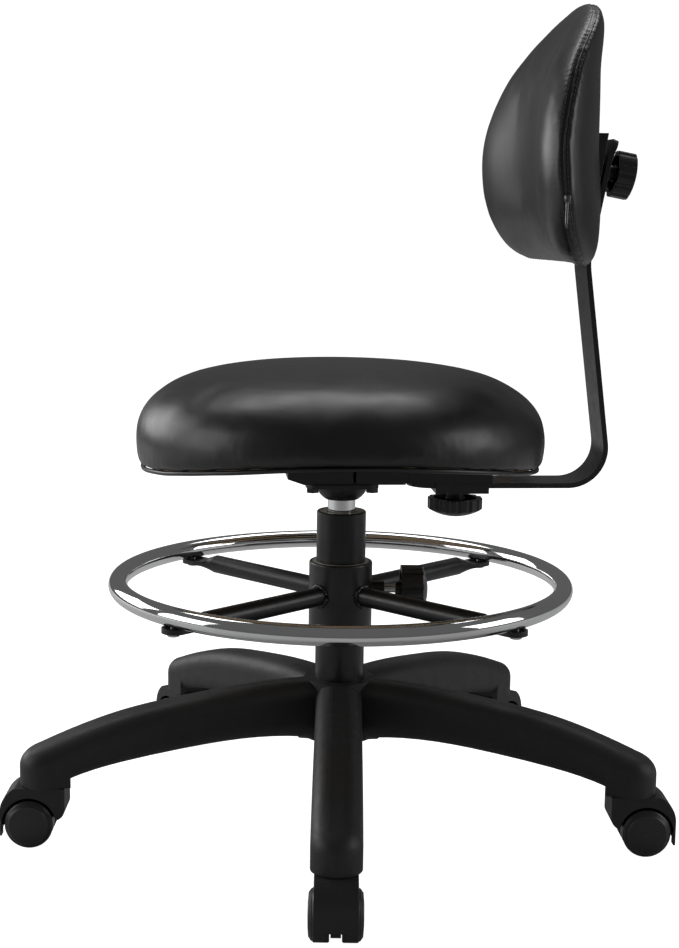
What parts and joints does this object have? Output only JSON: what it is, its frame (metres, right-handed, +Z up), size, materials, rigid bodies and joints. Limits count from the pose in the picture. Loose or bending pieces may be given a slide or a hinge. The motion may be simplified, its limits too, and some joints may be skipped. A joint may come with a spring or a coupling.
{
  "type": "drafting chair",
  "caption": "Round-seated drafting chair with wrapped backrest on a J-shaped bar, chrome foot ring, gas lift and five-arm caster base.",
  "frame": {"origin": "on the floor under the axis of the gas column", "axes": "+Z up along the column, -Y is the front that the sitter faces, X across the seat"},
  "size_m": [0.6515, 0.6592, 0.822],
  "materials": {
    "nylon": "moulded, satin texture",
    "black_steel": "black powder coat",
    "chrome": "polished",
    "steel": "zinc plated",
    "vinyl": "soft semi-gloss vinyl",
    "plywood": "plain",
    "knob_plastic": "moulded, fluted",
    "wheel_nylon": "smooth",
    "bush_plastic": "plain"
  },
  "bodies": {
    "base": {"star_base": "nylon", "column_tube": "black_steel", "guide_bush": "bush_plastic", "thrust_bearing": "steel", "caster_stems": "steel"},
    "spindle": {"piston_rod": "steel", "rod_clip": "steel"},
    "seat": {"gas_cylinder": "chrome", "taper_socket": "black_steel", "seat_plate": "black_steel", "plate_bolts": "black_steel", "seat_rail": "black_steel", "rail_clamp": "black_steel", "lever_pivot": "steel", "seat_board": "plywood", "seat_cushion": "vinyl", "seat_piping": "vinyl"},
    "release_pin": {"release_pin": "steel"},
    "lift_lever": {"lift_lever": "black_steel", "lever_grip": "knob_plastic"},
    "footring_slider": {"footring_bush": "bush_plastic"},
    "footring": {"footring": "chrome", "footring_sleeve": "black_steel", "footring_spokes": "black_steel", "footring_screws": "steel"},
    "footring_knob": {"footring_knob": "knob_plastic", "footring_clamp_stud": "steel"},
    "back_bar": {"back_bar": "black_steel"},
    "depth_knob": {"depth_knob": "knob_plastic", "depth_stud": "steel"},
    "backrest": {"back_cushion": "vinyl", "back_board": "plywood", "back_bracket": "black_steel", "bracket_screws": "steel"},
    "back_knob": {"back_knob": "knob_plastic", "back_stud": "steel"},
    "caster_1": {"caster_hood_1": "nylon", "caster_axle_1": "steel"},
    "wheel_1_left": {"caster_wheel_1_left": "wheel_nylon"},
    "wheel_1_right": {"caster_wheel_1_right": "wheel_nylon"},
    "caster_2": {"caster_hood_2": "nylon", "caster_axle_2": "steel"},
    "wheel_2_left": {"caster_wheel_2_left": "wheel_nylon"},
    "wheel_2_right": {"caster_wheel_2_right": "wheel_nylon"},
    "caster_3": {"caster_hood_3": "nylon", "caster_axle_3": "steel"},
    "wheel_3_left": {"caster_wheel_3_left": "wheel_nylon"},
    "wheel_3_right": {"caster_wheel_3_right": "wheel_nylon"},
    "caster_4": {"caster_hood_4": "nylon", "caster_axle_4": "steel"},
    "wheel_4_left": {"caster_wheel_4_left": "wheel_nylon"},
    "wheel_4_right": {"caster_wheel_4_right": "wheel_nylon"},
    "caster_5": {"caster_hood_5": "nylon", "caster_axle_5": "steel"},
    "wheel_5_left": {"caster_wheel_5_left": "wheel_nylon"},
    "wheel_5_right": {"caster_wheel_5_right": "wheel_nylon"}
  },
  "joints": [
    {"name": "seat_swivel", "type": "hinge", "parent": "base", "child": "spindle", "pos_m": [0, 0, 0.3], "axis": [0, 0, 1], "continuous": true},
    {"name": "seat_lift", "type": "slide", "parent": "spindle", "child": "seat", "axis": [0, 0, 1], "range_m": [0, 0.15]},
    {"name": "lever_lift", "type": "hinge", "parent": "seat", "child": "lift_lever", "pos_m": [-0.026, 0, 0.358], "axis": [0, 1, 0], "range_deg": [0, 6]},
    {"name": "valve_press", "type": "slide", "parent": "seat", "child": "release_pin", "axis": [0, 0, -1], "range_m": [0, 0.0029], "stiffness_N_per_m": 200, "springref_m": -0.004},
    {"name": "footring_slide", "type": "slide", "parent": "base", "child": "footring_slider", "axis": [0, 0, 1], "range_m": [-0.045, 0.05]},
    {"name": "footring_turn", "type": "hinge", "parent": "footring_slider", "child": "footring", "pos_m": [0, 0, 0.23], "axis": [0, 0, 1], "continuous": true},
    {"name": "footring_clamp", "type": "hinge", "parent": "footring", "child": "footring_knob", "pos_m": [0.00398, 0.05987, 0.2385], "axis": [0.0663, 0.9978, 0], "range_deg": [-360, 0]},
    {"name": "back_depth", "type": "slide", "parent": "seat", "child": "back_bar", "axis": [0, 1, 0], "range_m": [-0.03, 0.03]},
    {"name": "depth_clamp", "type": "hinge", "parent": "seat", "child": "depth_knob", "pos_m": [0, 0.116, 0.33], "axis": [0, 0, -1], "range_deg": [-360, 0]},
    {"name": "back_height", "type": "slide", "parent": "back_bar", "child": "backrest", "axis": [0, 0.1822, 0.9833], "range_m": [-0.05, 0]},
    {"name": "back_clamp", "type": "hinge", "parent": "backrest", "child": "back_knob", "pos_m": [0, 0.25756, 0.6614], "axis": [0, 0.9833, -0.1822], "range_deg": [-360, 0]},
    {"name": "caster_1_swivel", "type": "hinge", "parent": "base", "child": "caster_1", "pos_m": [0.30255, -0.02967, 0.06], "axis": [0, 0, 1], "continuous": true},
    {"name": "wheel_1_left_spin", "type": "hinge", "parent": "caster_1", "child": "wheel_1_left", "pos_m": [0.3145, -0.03077, 0.0235], "axis": [-0.0924, -0.9957, 0], "continuous": true},
    {"name": "wheel_1_right_spin", "type": "hinge", "parent": "caster_1", "child": "wheel_1_right", "pos_m": [0.3145, -0.03077, 0.0235], "axis": [-0.0924, -0.9957, 0], "continuous": true},
    {"name": "caster_2_swivel", "type": "hinge", "parent": "base", "child": "caster_2", "pos_m": [0.12171, 0.27857, 0.06], "axis": [0, 0, 1], "continuous": true},
    {"name": "wheel_2_left_spin", "type": "hinge", "parent": "caster_2", "child": "wheel_2_left", "pos_m": [0.12254, 0.29054, 0.0235], "axis": [0.9976, -0.0698, 0], "continuous": true},
    {"name": "wheel_2_right_spin", "type": "hinge", "parent": "caster_2", "child": "wheel_2_right", "pos_m": [0.12254, 0.29054, 0.0235], "axis": [0.9976, -0.0698, 0], "continuous": true},
    {"name": "caster_3_swivel", "type": "hinge", "parent": "base", "child": "caster_3", "pos_m": [-0.22733, 0.20183, 0.06], "axis": [0, 0, 1], "continuous": true},
    {"name": "wheel_3_left_spin", "type": "hinge", "parent": "caster_3", "child": "wheel_3_left", "pos_m": [-0.2363, 0.2098, 0.0235], "axis": [0.6639, 0.7478, 0], "continuous": true},
    {"name": "wheel_3_right_spin", "type": "hinge", "parent": "caster_3", "child": "wheel_3_right", "pos_m": [-0.2363, 0.2098, 0.0235], "axis": [0.6639, 0.7478, 0], "continuous": true},
    {"name": "caster_4_swivel", "type": "hinge", "parent": "base", "child": "caster_4", "pos_m": [-0.2622, -0.15383, 0.06], "axis": [0, 0, 1], "continuous": true},
    {"name": "wheel_4_left_spin", "type": "hinge", "parent": "caster_4", "child": "wheel_4_left", "pos_m": [-0.27255, -0.15991, 0.0235], "axis": [-0.506, 0.8625, 0], "continuous": true},
    {"name": "wheel_4_right_spin", "type": "hinge", "parent": "caster_4", "child": "wheel_4_right", "pos_m": [-0.27255, -0.15991, 0.0235], "axis": [-0.506, 0.8625, 0], "continuous": true},
    {"name": "caster_5_swivel", "type": "hinge", "parent": "base", "child": "caster_5", "pos_m": [0.06528, -0.29691, 0.06], "axis": [0, 0, 1], "continuous": true},
    {"name": "wheel_5_left_spin", "type": "hinge", "parent": "caster_5", "child": "wheel_5_left", "pos_m": [0.06423, -0.30886, 0.0235], "axis": [-0.9962, 0.0872, 0], "continuous": true},
    {"name": "wheel_5_right_spin", "type": "hinge", "parent": "caster_5", "child": "wheel_5_right", "pos_m": [0.06423, -0.30886, 0.0235], "axis": [-0.9962, 0.0872, 0], "continuous": true}
  ],
  "couplings": [
    {"joint": "valve_press", "follows": "lever_lift", "m_per_rad": 0.026}
  ]
}
